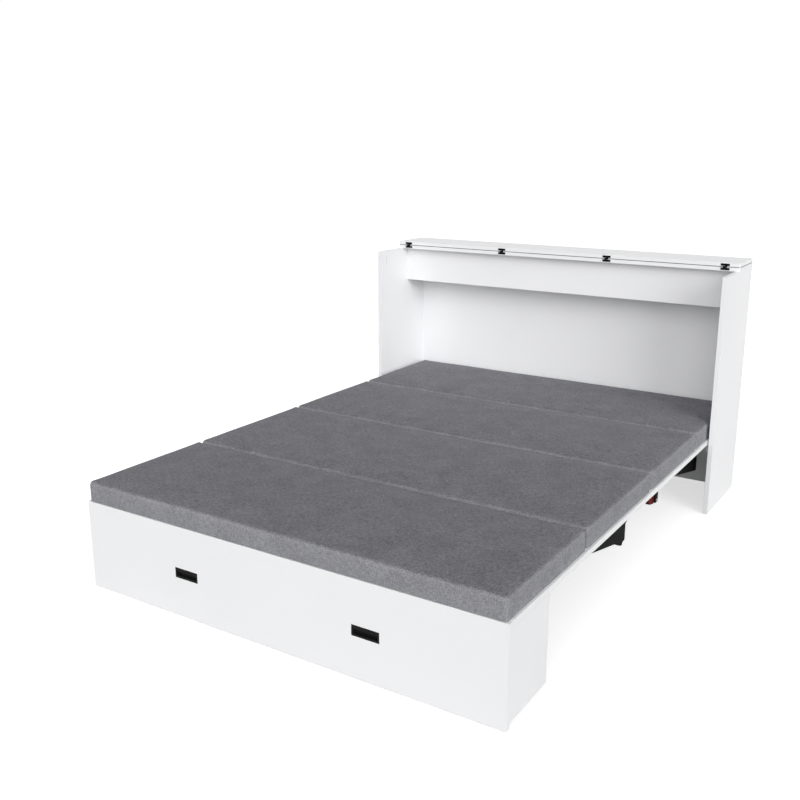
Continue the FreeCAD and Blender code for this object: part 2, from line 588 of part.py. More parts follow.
# ------------------------------------------------------------------ mattress
def ring(x, y0, y1, z, inset, radius):
    """One level of a pad: a rounded rectangle, drawn in by inset."""
    a, b, c = x - inset, y0 + inset, y1 - inset
    r = radius
    k = r * 0.70710678
    corners = [((a - r, b + r), -90), ((a - r, c - r), 0), ((-a + r, c - r), 90),
               ((-a + r, b + r), 180)]
    edges, last, first = [], None, None
    for (cx, cy), turn in corners:
        step = {-90: ((0, -r), (k, -k), (r, 0)), 0: ((r, 0), (k, k), (0, r)),
                90: ((0, r), (-k, k), (-r, 0)), 180: ((-r, 0), (-k, -k), (0, -r))}[turn]
        start, middle, end = [V(cx + u, cy + w, z) for u, w in step]
        if last is not None:
            edges.append(Part.LineSegment(last, start).toShape())
        else:
            first = start
        edges.append(Part.Arc(start, middle, end).toShape())
        last = end
    edges.append(Part.LineSegment(last, first).toShape())
    return Part.Wire(edges)


def mattress():
    """Four crowned pads: sides drawn in at the foot, rounded shoulders, a low domed top."""
    x = number(HALF) - D["pad_inset"]
    base = D["deck_top"] + D["pad_seat"]
    tall = D["pad_thick"]
    half = D["pad_gap"] / 2
    bounds = [number(FOOT), number(SEAM_A), number(SEAM_B), number(SEAM_C), number(BACK)]
    tuck, shoulder = D["pad_tuck"], D["pad_shoulder"]
    # share of the rim's height, and how far the side is drawn in there
    shape = [(0.0, tuck), (0.08, tuck * 5 / 14), (0.25, 0.0), (0.62, shoulder / 40),
             (0.84, shoulder * 5 / 24), (0.95, shoulder / 2), (1.0, shoulder)]
    for i in range(4):
        start, end = bounds[i] + half, bounds[i + 1] - half
        rings = [ring(x, start, end, base + share * tall, inset, D["pad_corner"])
                 for share, inset in shape]
        rings.append(ring(x, start, end, base + tall + 0.8 * D["pad_crown"], D["crown_ring"],
                          D["pad_corner"]))
        rings.append(ring(x, start, end, base + tall + D["pad_crown"], D["crown_flat"],
                          D["pad_corner"]))
        node(formed("pad_%d" % (i + 1), Part.makeLoft(rings, True, True)),
             "mattress_pad_%d" % (i + 1))


# ------------------------------------------------------------------ build, check, write
def check():
    """Every object recomputed, and every sub-part a valid shape made of solids."""
    for thing in doc.Objects:
        if "Invalid" in thing.State or "Error" in thing.State:
            raise RuntimeError("failed: " + thing.Name)
    for piece in NODES:
        shape = piece.Shape
        if shape.isNull() or not shape.isValid() or not shape.Solids:
            raise RuntimeError("bad shape: " + piece.Label)


def write():
    os.makedirs("parts", exist_ok=True)
    for piece in NODES:
        piece.Shape.exportStep("parts/%s.step" % piece.Label)


chest()
lid()
foot_box()
drawer()
flush_pulls()
casters()
deck()
braces()
latch()
mattress()
doc.recompute()
check()
write()
print(len(NODES), "sub-parts,", sum(len(piece.Shape.Solids) for piece in NODES), "solids")
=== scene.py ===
"""Looks of the cabinet bed: soft mattress pads, small hardware, materials, light and camera."""
import json
import math

import bmesh
import bpy
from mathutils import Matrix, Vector, noise


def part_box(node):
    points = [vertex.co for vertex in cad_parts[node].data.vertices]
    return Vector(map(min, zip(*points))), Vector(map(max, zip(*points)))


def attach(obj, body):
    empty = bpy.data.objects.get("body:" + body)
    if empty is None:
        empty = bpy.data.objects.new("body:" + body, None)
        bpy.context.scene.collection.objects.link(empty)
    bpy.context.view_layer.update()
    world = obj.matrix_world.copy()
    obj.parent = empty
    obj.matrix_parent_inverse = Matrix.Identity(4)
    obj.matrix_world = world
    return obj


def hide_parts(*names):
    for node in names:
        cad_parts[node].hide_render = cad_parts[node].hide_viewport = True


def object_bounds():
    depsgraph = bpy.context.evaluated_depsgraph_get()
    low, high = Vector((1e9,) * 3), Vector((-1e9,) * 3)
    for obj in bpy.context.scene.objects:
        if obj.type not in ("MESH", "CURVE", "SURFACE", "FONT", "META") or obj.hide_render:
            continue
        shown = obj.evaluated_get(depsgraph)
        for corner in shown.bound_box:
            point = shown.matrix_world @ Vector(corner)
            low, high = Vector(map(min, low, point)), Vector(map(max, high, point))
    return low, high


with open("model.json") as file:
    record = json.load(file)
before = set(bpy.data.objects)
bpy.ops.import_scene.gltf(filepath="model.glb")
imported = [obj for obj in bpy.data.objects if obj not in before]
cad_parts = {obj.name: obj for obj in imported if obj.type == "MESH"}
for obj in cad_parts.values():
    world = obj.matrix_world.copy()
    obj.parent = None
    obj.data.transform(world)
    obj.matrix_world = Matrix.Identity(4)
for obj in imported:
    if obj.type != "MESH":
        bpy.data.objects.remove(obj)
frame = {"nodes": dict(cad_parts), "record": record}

CAD_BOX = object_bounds()

# ---------------------------------------------------------------- camera, from the photograph
PHOTO = 800                      # the photograph's side, in pixels
FOCAL_PX = 958.66                # focal length, in the same pixels
CENTRE_PX = (399.33, 388.77)     # where the optical axis meets the photograph
CAMERA_AT = (1.7152, -3.0501, 1.4815)
CAMERA_TURN = (75.343, 0.0, 32.668)
SENSOR = 36.0
CAMERA_REACH = 100               # farthest distance that it draws


def linked(name, data):
    """A new object with that data, in the scene."""
    thing = bpy.data.objects.new(name, data)
    bpy.context.scene.collection.objects.link(thing)
    return thing


def finished(mesh, name):
    """The bmesh as mesh data of that name; the bmesh is freed."""
    data = bpy.data.meshes.new(name)
    mesh.to_mesh(data)
    mesh.free()
    return data


def make_camera():
    data = bpy.data.cameras.new("camera")
    data.sensor_width = SENSOR
    data.lens = FOCAL_PX / PHOTO * SENSOR
    data.shift_x = (PHOTO / 2 - CENTRE_PX[0]) / PHOTO
    data.shift_y = (CENTRE_PX[1] - PHOTO / 2) / PHOTO
    data.clip_end = CAMERA_REACH
    camera = linked("camera", data)
    camera.location = CAMERA_AT
    camera.rotation_euler = [math.radians(a) for a in CAMERA_TURN]
    bpy.context.scene.camera = camera


# ---------------------------------------------------------------- node helpers
class Nodes:
    """A material's node tree with short calls to add and join nodes."""

    def __init__(self, name):
        self.material = bpy.data.materials.new(name)
        self.material.use_nodes = True
        self.tree = self.material.node_tree
        self.shader = self.tree.nodes["Principled BSDF"]
        self.place = self.add("ShaderNodeTexCoord").outputs["Object"]

    def add(self, kind, **settings):
        node = self.tree.nodes.new(kind)
        for key, value in settings.items():
            if key in node.inputs:
                node.inputs[key].default_value = value
            else:
                setattr(node, key, value)
        return node

    def link(self, source, target):
        self.tree.links.new(source, target)

    def scaled(self, size):
        """Object coordinates stretched by size along X, Y and Z."""
        mapping = self.add("ShaderNodeMapping")
        mapping.inputs["Scale"].default_value = size
        self.link(self.place, mapping.inputs["Vector"])
        return mapping.outputs["Vector"]

    def noise(self, size, scale, detail=2.0):
        texture = self.add("ShaderNodeTexNoise")
        texture.inputs["Scale"].default_value = scale
        texture.inputs["Detail"].default_value = detail
        self.link(self.scaled(size), texture.inputs["Vector"])
        return texture.outputs["Fac"]

    def ramp(self, source, low, high, start=0.3, end=0.7):
        """Colours from low to high as source goes from start to end."""
        ramp = self.add("ShaderNodeValToRGB")
        first, last = ramp.color_ramp.elements
        first.position, first.color = start, (*low, 1)
        last.position, last.color = end, (*high, 1)
        self.link(source, ramp.inputs["Fac"])
        return ramp.outputs["Color"]

    def math(self, operation, a, b):
        node = self.add("ShaderNodeMath", operation=operation)
        for socket, value in zip(node.inputs, (a, b)):
            if isinstance(value, (int, float)):
                socket.default_value = value
            else:
                self.link(value, socket)
        return node.outputs[0]

    def bump(self, height, strength, distance, normal=None):
        bump = self.add("ShaderNodeBump")
        bump.inputs["Strength"].default_value = strength
        bump.inputs["Distance"].default_value = distance
        self.link(height, bump.inputs["Height"])
        if normal:
            self.link(normal, bump.inputs["Normal"])
        self.link(bump.outputs["Normal"], self.shader.inputs["Normal"])

    def soft_edge(self, radius):
        """A normal that rounds sharp edges by radius, in metres."""
        bevel = self.add("ShaderNodeBevel", samples=4)
        bevel.inputs["Radius"].default_value = radius
        return bevel.outputs["Normal"]

    def roughness(self, source, low, high):
        span = self.add("ShaderNodeMapRange")
        span.inputs["To Min"].default_value = low
        span.inputs["To Max"].default_value = high
        self.link(source, span.inputs["Value"])
        self.link(span.outputs[0], self.shader.inputs["Roughness"])


def white_board():
    """Satin white melamine: a faint orange-peel relief and slight cloudiness."""
    m = Nodes("white_board")
    cloud = m.noise((1, 1, 1), 2.2, 3)
    m.link(m.ramp(cloud, (0.822, 0.825, 0.836), (0.846, 0.849, 0.858)),
           m.shader.inputs["Base Color"])
    m.roughness(m.noise((1, 1, 1), 35, 2), 0.34, 0.46)
    m.shader.inputs["Specular IOR Level"].default_value = 0.35
    m.bump(m.noise((1, 1, 1), 420, 2), 0.08, 0.0004, m.soft_edge(0.0012))
    return m.material


def powder_black(name="black_steel", tone=0.006, shine=0.02):
    """Black powder coat or moulded black with a fine grain."""
    m = Nodes(name)
    grain = m.noise((1, 1, 1), 900, 3)
    m.link(m.ramp(grain, (tone * 0.7,) * 3, (tone * 1.8,) * 3), m.shader.inputs["Base Color"])
    m.roughness(m.noise((1, 1, 1), 60, 2), 0.5, 0.68)
    m.shader.inputs["Specular IOR Level"].default_value = shine
    m.bump(grain, 0.25, 0.0002, m.soft_edge(0.0008))
    return m.material


def zinc_steel():
    """Zinc-plated steel, brushed along X."""
    m = Nodes("steel")
    streak = m.noise((12, 260, 260), 3, 4)
    m.link(m.ramp(streak, (0.42, 0.43, 0.45), (0.62, 0.63, 0.64)),
           m.shader.inputs["Base Color"])
    m.shader.inputs["Metallic"].default_value = 1.0
    m.roughness(streak, 0.28, 0.48)
    m.bump(streak, 0.1, 0.0001)
    return m.material


def moulded_red():
    """Red moulded lever with a fine spark-eroded grain."""
    m = Nodes("red_plastic")
    m.link(m.ramp(m.noise((1, 1, 1), 70, 3), (0.06, 0.002, 0.0015), (0.1, 0.004, 0.003)),
           m.shader.inputs["Base Color"])
    m.roughness(m.noise((1, 1, 1), 200, 2), 0.42, 0.56)
    m.shader.inputs["Specular IOR Level"].default_value = 0.02
    m.bump(m.noise((1, 1, 1), 1400, 2), 0.2, 0.0002, m.soft_edge(0.0015))
    return m.material


def wheel_rubber():
    """Grey-black tread with dust on it."""
    m = Nodes("wheel_rubber")
    dust = m.noise((1, 1, 1), 90, 4)
    m.link(m.ramp(dust, (0.028, 0.028, 0.03), (0.085, 0.083, 0.08)),
           m.shader.inputs["Base Color"])
    m.roughness(dust, 0.62, 0.85)
    m.bump(dust, 0.15, 0.0003)
    return m.material


STREAK_ALONG, STREAK_ACROSS = 70, 480    # noise along a streak of yarn and across it
PATCH_SCALE, PATCH_SHARE = 14, 0.1       # broad unevenness of the dye, and its share
YARN_SPAN = (0.42, 0.58)                 # noise from all dark yarn to all light yarn
# the cover's colours twice: darker for the top as painted shade, lighter for the upright faces as
# painted light
SHADED_TOP_YARNS = ((0.084, 0.083, 0.094), (0.214, 0.212, 0.231))
LIT_SIDE_YARNS = ((0.175, 0.175, 0.19), (0.33, 0.333, 0.354))
TOP_SHADE_SPAN = (0.35, 0.85)                 # the normal's Z from the lit upright faces' colours to the shaded top's
RIDGE_SCALE = 140 / math.pi              # wave textures' scale: about 142 ridges a metre
RIDGE_WANDER = 1.4
RIDGE_SHARE = 0.6                        # the ridges' share of the relief


def woven_grey():
    """Heathered cover: streaks of light and dark yarn, crossed ridges and a soft sheen, with
    painted light and shade that make its upright faces lighter than its top.
    """
    m = Nodes("grey_fabric")
    streaks = [m.noise([STREAK_ALONG if i == axis else STREAK_ACROSS for i in range(3)], 1.0, 2)
               for axis in range(3)]
    heather = m.math("ADD", m.math("ADD", streaks[0], streaks[1]), streaks[2])
    heather = m.math("DIVIDE", heather, 3.0)
    patch = m.noise((1, 1, 1), PATCH_SCALE, 3)
    mixed = m.math("ADD", m.math("MULTIPLY", heather, 1 - PATCH_SHARE),
                   m.math("MULTIPLY", patch, PATCH_SHARE))
    # painted shade on the top and painted light on the upright faces, as two copies of the same
    # yarn colours
    top = m.ramp(mixed, *SHADED_TOP_YARNS, *YARN_SPAN)
    lit_side_colours = m.ramp(mixed, *LIT_SIDE_YARNS, *YARN_SPAN)
    # painted light and shade: the upright faces take the lighter colours and the top the darker
    # ones, by the normal's Z
    facing = m.add("ShaderNodeSeparateXYZ")
    m.link(m.add("ShaderNodeNewGeometry").outputs["Normal"], facing.inputs[0])
    top_shade_mask = m.add("ShaderNodeMapRange")
    top_shade_mask.inputs["From Min"].default_value, top_shade_mask.inputs["From Max"].default_value = TOP_SHADE_SPAN
    m.link(facing.outputs["Z"], top_shade_mask.inputs["Value"])
    blend = m.add("ShaderNodeMix", data_type="RGBA")
    m.link(top_shade_mask.outputs[0], blend.inputs["Factor"])
    m.link(lit_side_colours, blend.inputs[6])
    m.link(top, blend.inputs[7])
    m.link(blend.outputs[2], m.shader.inputs["Base Color"])
    ridges = []
    for axis in ("X", "Y", "Z"):
        wave = m.add("ShaderNodeTexWave", bands_direction=axis)
        wave.inputs["Scale"].default_value = RIDGE_SCALE
        wave.inputs["Distortion"].default_value = RIDGE_WANDER
        m.link(m.place, wave.inputs["Vector"])
        ridges.append(wave.outputs["Fac"])
    crossed = m.math("MAXIMUM", m.math("MULTIPLY", ridges[0], ridges[1]), ridges[2])
    relief = m.math("ADD", m.math("MULTIPLY", crossed, RIDGE_SHARE), heather)
    m.roughness(heather, 0.85, 0.97)
    m.shader.inputs["Specular IOR Level"].default_value = 0.1
    m.shader.inputs["Sheen Weight"].default_value = 0.12
    m.shader.inputs["Sheen Roughness"].default_value = 0.5
    m.shader.inputs["Sheen Tint"].default_value = (0.8, 0.8, 0.84, 1)
    m.bump(relief, 0.35, 0.0006)
    return m.material


def shadow_strip():
    """Dark matt colour of the strip between the lid's leaves: a painted shadow of the thin gap
    between them.
    """
    m = Nodes("shadow_strip")
    shade_speckle = m.noise((1, 1, 1), 800, 2)
    # painted shadow: dark greys for the shade in the gap between the leaves
    m.link(m.ramp(shade_speckle, (0.05, 0.052, 0.056), (0.11, 0.112, 0.118)),
           m.shader.inputs["Base Color"])
    m.roughness(shade_speckle, 0.85, 0.98)
    m.bump(shade_speckle, 0.3, 0.0002)
    return m.material


def make_materials():
    return {"white_board": white_board(), "black_steel": powder_black(), "steel": zinc_steel(),
            "grey_fabric": woven_grey(), "red_plastic": moulded_red(),
            "black_plastic": powder_black("black_plastic", 0.008, 0.06),
            "wheel_rubber": wheel_rubber(), "shadow_strip": shadow_strip()}


def dress_cad(materials):
    """Every CAD node gets the material of its record slot."""
    for part in frame["record"]["subparts"]:
        thing = frame["nodes"][part["node"]]
        thing.data.materials.clear()
        thing.data.materials.append(materials[part["material_slot"]])


def add_piece(name, mesh, material, body, smooth=True):
    """An object of the scene alone, with its material and the body it rides."""
    piece = linked(name, mesh)
    mesh.materials.append(material)
    for face in mesh.polygons:
        face.use_smooth = smooth
    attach(piece, body)
    return piece


# ---------------------------------------------------------------- mattress pads
SHOULDER = 0.016     # radius of a pad's top edges
FOOT_ROUND = 0.004   # radius of its lower edges
CORNER = 0.014       # radius of its upright corners
CROWN = 0.0035       # rise of its middle before it is filled
CELL = 0.014         # mesh cell on the open faces
OVER_SIDE = 0.0075   # the cover stands this far over the solid at the bed's sides
OVER_FOOT = 0.006    # and over the foot panel
SEAM = 0.0024        # each pad's clearance to the seam's plane
SIDE_PLAY = 0.0015   # how far a filled pad may stand past its box at the bed's sides
ROUND_STEPS = 7      # stations around each rounded edge

START_SIDE = 0.001   # how much smaller a pad starts at each side,
START_SEAM = 0.0025  # at each seam
START_TOP = 0.0042   # and at its top
PRESSURE = 4.0
FRAMES = 20
CAP = 0.0045         # farthest that a point may move while the pad fills
HELD = 0.0015        # height of the band that is held on the deck
CLOTH_QUALITY = 5
CLOTH_MASS = 0.3
CLOTH_STRETCH = 40   # stiffness against stretching and against compression
CLOTH_BEND = 2
SMOOTHING = 0.3

CROWN_POWER = 10     # how flat the crown stays towards the bed's sides
BROAD = (2.7, 0.0011)            # unevenness of the top: per metre, and height
FINE = (13.0, 0.0004)
WAVER = (7, 0.0007)              # and of the upright sides
WAVER_POWER = 12


def stations(low, high, edge_low, edge_high):
    """Coordinates from low to high, close together within both rounded edges."""
    turns = [1 - math.cos(math.pi / 2 * i / ROUND_STEPS) for i in range(ROUND_STEPS)]
    start = [low + edge_low * turn for turn in turns]
    end = [high - edge_high * turn for turn in turns]
    a, b = low + edge_low, high - edge_high
    count = max(2, round((b - a) / CELL))
    middle = [a + (b - a) * i / count for i in range(count + 1)]
    return start + middle + end[::-1]


def rounded(point, low, high, edge_low):
    """Moves a point of a box's skin onto the box with rounded edges."""
    radii = (CORNER, CORNER, SHOULDER if point[2] > (low[2] + high[2]) / 2 else edge_low)
    core = [min(max(point[0], low[0] + CORNER), high[0] - CORNER),
            min(max(point[1], low[1] + CORNER), high[1] - CORNER),
            min(max(point[2], low[2] + edge_low), high[2] - SHOULDER)]
    away = [(p - c) / r for p, c, r in zip(point, core, radii)]
    length = math.sqrt(sum(a * a for a in away))
    if length < 1e-9:
        return Vector(point)
    return Vector([c + a / length * r for c, a, r in zip(core, away, radii)])


def uneven(point, low, high):
    """A low crown and the slight unevenness of foam under cloth."""
    u = (point.x - low[0]) / (high[0] - low[0]) * 2 - 1
    v = (point.y - low[1]) / (high[1] - low[1]) * 2 - 1
    w = (point.z - low[2]) / (high[2] - low[2])
    top = max(0.0, w - 0.5) * 2
    point.z += CROWN * (1 - abs(u) ** CROWN_POWER) * (1 - v * v) * top
    broad = noise.noise(point * BROAD[0]) * BROAD[1]
    fine = noise.noise(point * FINE[0] + Vector((5, 1, 2))) * FINE[1]
    point.z += (broad + fine) * top
    along = Vector((point.x * WAVER[0], point.y * WAVER[0], 4.0))
    edge = noise.noise(along) * WAVER[1] * w * (1 - w) * 4
    point.x += edge * abs(u) ** WAVER_POWER
    point.y += edge * abs(v) ** WAVER_POWER
    return point


def pad_mesh(name, low, high):
    """A closed pad between two corners, from a grid that is fine within its rounded edges."""
    xs = stations(low[0], high[0], CORNER, CORNER)
    ys = stations(low[1], high[1], CORNER, CORNER)
    zs = stations(low[2], high[2], FOOT_ROUND, SHOULDER)
    mesh = bmesh.new()
    found = {}

    def vertex(i, j, k):
        if (i, j, k) not in found:
            place = rounded((xs[i], ys[j], zs[k]), low, high, FOOT_ROUND)
            found[i, j, k] = mesh.verts.new(uneven(place, low, high))
        return found[i, j, k]

    def quad(corners, order):
        mesh.faces.new([vertex(*corner) for corner in corners][::order])

    last_x, last_y, last_z = len(xs) - 1, len(ys) - 1, len(zs) - 1
    for i in range(last_x):
        for j in range(last_y):
            for k, order in ((last_z, 1), (0, -1)):
                quad([(i, j, k), (i + 1, j, k), (i + 1, j + 1, k), (i, j + 1, k)], order)
    for i in range(last_x):
        for k in range(last_z):
            for j, order in ((0, 1), (last_y, -1)):
                quad([(i, j, k), (i + 1, j, k), (i + 1, j, k + 1), (i, j, k + 1)], order)
    for j in range(last_y):
        for k in range(last_z):
            for i, order in ((last_x, 1), (0, -1)):
                quad([(i, j, k), (i, j + 1, k), (i, j + 1, k + 1), (i, j, k + 1)], order)
    return finished(mesh, name)


def pad_limits(number):
    """The box that pad number fills: its solid's, out to the seams and a little over the sides."""
    low, high = [list(corner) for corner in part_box("mattress_pad_%d" % number)]
    low[0] -= OVER_SIDE
    high[0] += OVER_SIDE
    if number == 1:
        low[1] -= OVER_FOOT
    return low, high


def fill(pads):
    """Fills all pads with air in one cloth simulation, their undersides held on the deck."""
    scene = bpy.context.scene
    before = {}
    for pad in pads:
        before[pad.name] = [vertex.co.copy() for vertex in pad.data.vertices]
        band = min(co.z for co in before[pad.name]) + HELD
        held = pad.vertex_groups.new(name="held")
        held.add([i for i, co in enumerate(before[pad.name]) if co.z < band], 1.0, "REPLACE")
        cloth = pad.modifiers.new("filling", "CLOTH")
        cloth.settings.quality = CLOTH_QUALITY
        cloth.settings.mass = CLOTH_MASS
        cloth.settings.tension_stiffness = CLOTH_STRETCH
        cloth.settings.compression_stiffness = CLOTH_STRETCH
        cloth.settings.bending_stiffness = CLOTH_BEND
        cloth.settings.use_pressure = True
        cloth.settings.uniform_pressure_force = PRESSURE
        cloth.settings.effector_weights.gravity = 0
        cloth.settings.vertex_group_mass = "held"
        cloth.collision_settings.use_collision = False
        cloth.point_cache.frame_start = 1
        cloth.point_cache.frame_end = FRAMES
    for frame_number in range(1, FRAMES + 1):
        scene.frame_set(frame_number)
    graph = bpy.context.evaluated_depsgraph_get()
    for pad in pads:
        filled = pad.evaluated_get(graph).data
        moved = [vertex.co.copy() for vertex in filled.vertices]
        pad.modifiers.clear()
        pad.vertex_groups.clear()
        for vertex, start, end in zip(pad.data.vertices, before[pad.name], moved):
            shift = end - start
            if shift.length > CAP:
                shift *= CAP / shift.length
            vertex.co = start + shift
    scene.frame_set(1)


def settle(pad, low, high):
    """Smooths the filled pad once and keeps it on its own side of each seam and over the deck."""
    mesh = bmesh.new()
    mesh.from_mesh(pad.data)
    bmesh.ops.smooth_vert(mesh, verts=mesh.verts, factor=SMOOTHING, use_axis_x=True,
                          use_axis_y=True, use_axis_z=True)
    for vertex in mesh.verts:
        vertex.co.y = min(max(vertex.co.y, low[1] + SEAM), high[1] - SEAM)
        vertex.co.x = min(max(vertex.co.x, low[0] - SIDE_PLAY), high[0] + SIDE_PLAY)
        vertex.co.z = max(vertex.co.z, low[2])
    mesh.to_mesh(pad.data)
    mesh.free()
    once = pad.modifiers.new("finer", "SUBSURF")
    once.levels = once.render_levels = 1
    graph = bpy.context.evaluated_depsgraph_get()
    finer = bpy.data.meshes.new_from_object(pad.evaluated_get(graph))
    pad.modifiers.clear()
    pad.data = finer


def make_pads(materials):
    """The four filled pads, each in place of its solid."""
    pads = []
    for number in range(1, 5):
        low, high = pad_limits(number)
        name = "soft_pad_%d" % number
        start_low = (low[0] + START_SIDE, low[1] + START_SEAM, low[2])
        start_high = (high[0] - START_SIDE, high[1] - START_SEAM, high[2] - START_TOP)
        data = pad_mesh(name, start_low, start_high)
        data.materials.append(materials["grey_fabric"])
        pads.append(linked(name, data))
    fill(pads)
    for number, pad in enumerate(pads, start=1):
        settle(pad, *pad_limits(number))
        for face in pad.data.polygons:
            face.use_smooth = True
        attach(pad, "bed_frame")
        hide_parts("mattress_pad_%d" % number)


# ---------------------------------------------------------------- brace plates
FOOT = CAD_BOX[0][1]             # the foot end's Y, from which the outlines are measured
DECK_UNDER = 0.2927
PLATE_OUT, PLATE_IN = 0.720, 0.716       # the plate's two faces, from the bed's middle
REAR_SHIFT = 0.849                       # from the front plates to the rear ones
HEEL = 1.0145                            # the front plates' upright edge
FLANGE_WIDTH = 0.018
FLANGE_START = 0.56
TOP_SHEET, HEEL_SHEET = 0.003, 0.004     # thickness of the top flange and of the upright one
HEEL_CLEAR = 0.01                        # from the top flange to the heel
HEEL_FOOT = 0.152
FOOT_FLANGE = [(0.951, 0.166), (0.951, 0.1525), (0.98, 0.1415), (0.98, 0.166)]
FRONT_OUTLINE = [(0.400, DECK_UNDER), (0.400, 0.2847), (0.942, 0.1635), (0.9495, 0.1525),
                 (0.981, 0.1398), (0.9905, 0.1405), (0.9965, 0.1495), (1.0145, 0.150),
                 (1.0145, 0.2085), (1.029, 0.215), (1.029, DECK_UNDER)]
REAR_OUTLINE = [(0.400, DECK_UNDER), (0.400, 0.2847), (1.008, 0.1500), (1.0145, 0.1520),
                (1.0145, DECK_UNDER)]


def prism(mesh, outline, x_low, x_high):
    """A plate between two X values from an outline in Y and Z, measured from the foot."""
    near = [mesh.verts.new((x_low, FOOT + y, z)) for y, z in outline]
    far = [mesh.verts.new((x_high, FOOT + y, z)) for y, z in outline]
    mesh.faces.new(near)
    mesh.faces.new(far[::-1])
    for i in range(len(outline)):
        j = (i + 1) % len(outline)
        mesh.faces.new((near[j], near[i], far[i], far[j]))


def make_braces(materials):
    """Plates with the photograph's straight lower edge and the folded flanges that stiffen them."""
    for end, outline, shift in (("front", FRONT_OUTLINE, 0.0),
                                ("rear", REAR_OUTLINE, REAR_SHIFT)):
        points = [(y + shift, z) for y, z in outline]
        start, heel = FLANGE_START + shift, HEEL + shift
        for word, side in (("left", -1), ("right", 1)):
            mesh = bmesh.new()
            prism(mesh, points, side * PLATE_OUT, side * PLATE_IN)
            inner = side * (PLATE_IN - FLANGE_WIDTH)
            under = DECK_UNDER - TOP_SHEET
            flange = [(start, DECK_UNDER), (start, under), (heel - HEEL_CLEAR, under),
                      (heel - HEEL_CLEAR, DECK_UNDER)]
            prism(mesh, flange, side * PLATE_IN, inner)
            upright = [(heel - HEEL_SHEET, under), (heel - HEEL_SHEET, HEEL_FOOT),
                       (heel, HEEL_FOOT), (heel, under)]
            prism(mesh, upright, side * PLATE_IN, inner)
            if end == "front":
                prism(mesh, FOOT_FLANGE, side * PLATE_IN, inner)
            bmesh.ops.recalc_face_normals(mesh, faces=mesh.faces)
            data = finished(mesh, "brace_%s_%s" % (end, word))
            plate = add_piece(data.name, data, materials["black_steel"],
                              "bed_frame", smooth=False)
            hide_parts("brace_plate_%s_%s" % (end, word))


STRIP_DROP = 0.00035     # from the upper leaf's underside to the strip's middle
STRIP_HALF = 0.0013      # half of its height
STRIP_PROUD = 0.0003     # how far it stands out of the leaves
STRIP_SUNK = 0.0002      # and how far it goes into them
STRIP_ENDS = 0.003       # clearance to the leaves' corners


def make_lid_shadow_strip(materials):
    """Thin dark strip between the folded leaves: a painted shadow for the shade in the gap between
    them.
    """
    low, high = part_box("lid_front_leaf")
    level = low[2] - STRIP_DROP
    mesh = bmesh.new()

    def slab(x0, x1, y0, y1):
        corners = [mesh.verts.new((x, y, z)) for z in (level - STRIP_HALF, level + STRIP_HALF)
                   for x, y in ((x0, y0), (x1, y0), (x1, y1), (x0, y1))]
        for face in ((3, 2, 1, 0), (4, 5, 6, 7), (0, 1, 5, 4), (1, 2, 6, 5), (2, 3, 7, 6),
                     (3, 0, 4, 7)):
            mesh.faces.new([corners[i] for i in face])

    slab(low[0] + STRIP_ENDS, high[0] - STRIP_ENDS, low[1] - STRIP_PROUD, low[1] + STRIP_SUNK)
    for x0, x1 in ((high[0] - STRIP_SUNK, high[0] + STRIP_PROUD),
                   (low[0] - STRIP_PROUD, low[0] + STRIP_SUNK)):
        slab(x0, x1, low[1] + STRIP_ENDS, high[1] - STRIP_ENDS)
    # painted shadow: the dark strip rides with the front leaf
    add_piece("lid_shadow_strip", finished(mesh, "lid_shadow_strip"), materials["shadow_strip"],
              "lid_front", smooth=False)


# ---------------------------------------------------------------- small hardware
LID_HINGES = (-0.748, -0.251, 0.247, 0.744)      # the hinges' middles, in X
SCREW_SPREAD = 0.0115            # from a hinge's middle to its screws
SCREW_RADIUS = 0.0022
SCREW_RISE = 0.0008              # height of a screw's head
SCREW_INSET = 0.0045             # from the leaf's outer edge
LEAF_PROUD = 0.002               # the leaves' faces before the lid's front edge
SCREW_SIDES, SCREW_RINGS = 24, 5
LOBE_EVERY = 6                   # every so many vertices, one drops
LOBE_DROP, CENTRE_RISE = 0.55, 0.35      # shares of the head's height


def screw_mesh(name, radius, rise):
    """A raised countersunk head with a cross slot, facing +Z, its rim at Z = 0."""
    mesh = bmesh.new()
    sides = SCREW_SIDES
    loops = []
    for r in range(SCREW_RINGS):
        turn = math.pi / 2 * r / SCREW_RINGS
        loops.append([mesh.verts.new((radius * math.cos(turn) * math.cos(a),
                                      radius * math.cos(turn) * math.sin(a),
                                      rise * math.sin(turn)))
                      for a in [2 * math.pi * s / sides for s in range(sides)]])
    for lower, upper in zip(loops, loops[1:]):
        for s in range(sides):
            t = (s + 1) % sides
            mesh.faces.new((lower[s], lower[t], upper[t], upper[s]))
    # the cross: some vertices of the inner loop drop to form four recessed lobes
    centre = mesh.verts.new((0, 0, rise * CENTRE_RISE))
    for s in range(sides):
        if s % LOBE_EVERY == 0:
            loops[-1][s].co.z -= rise * LOBE_DROP
        mesh.faces.new((loops[-1][s], loops[-1][(s + 1) % sides], centre))
    mesh.faces.new(loops[0][::-1])
    return finished(mesh, name)


def turned(data, axis, place):
    """Turns a screw's mesh from +Z to axis and moves it to place."""
    turn = Vector((0, 0, 1)).rotation_difference(Vector(axis))
    for vertex in data.vertices:
        vertex.co = turn @ vertex.co + Vector(place)


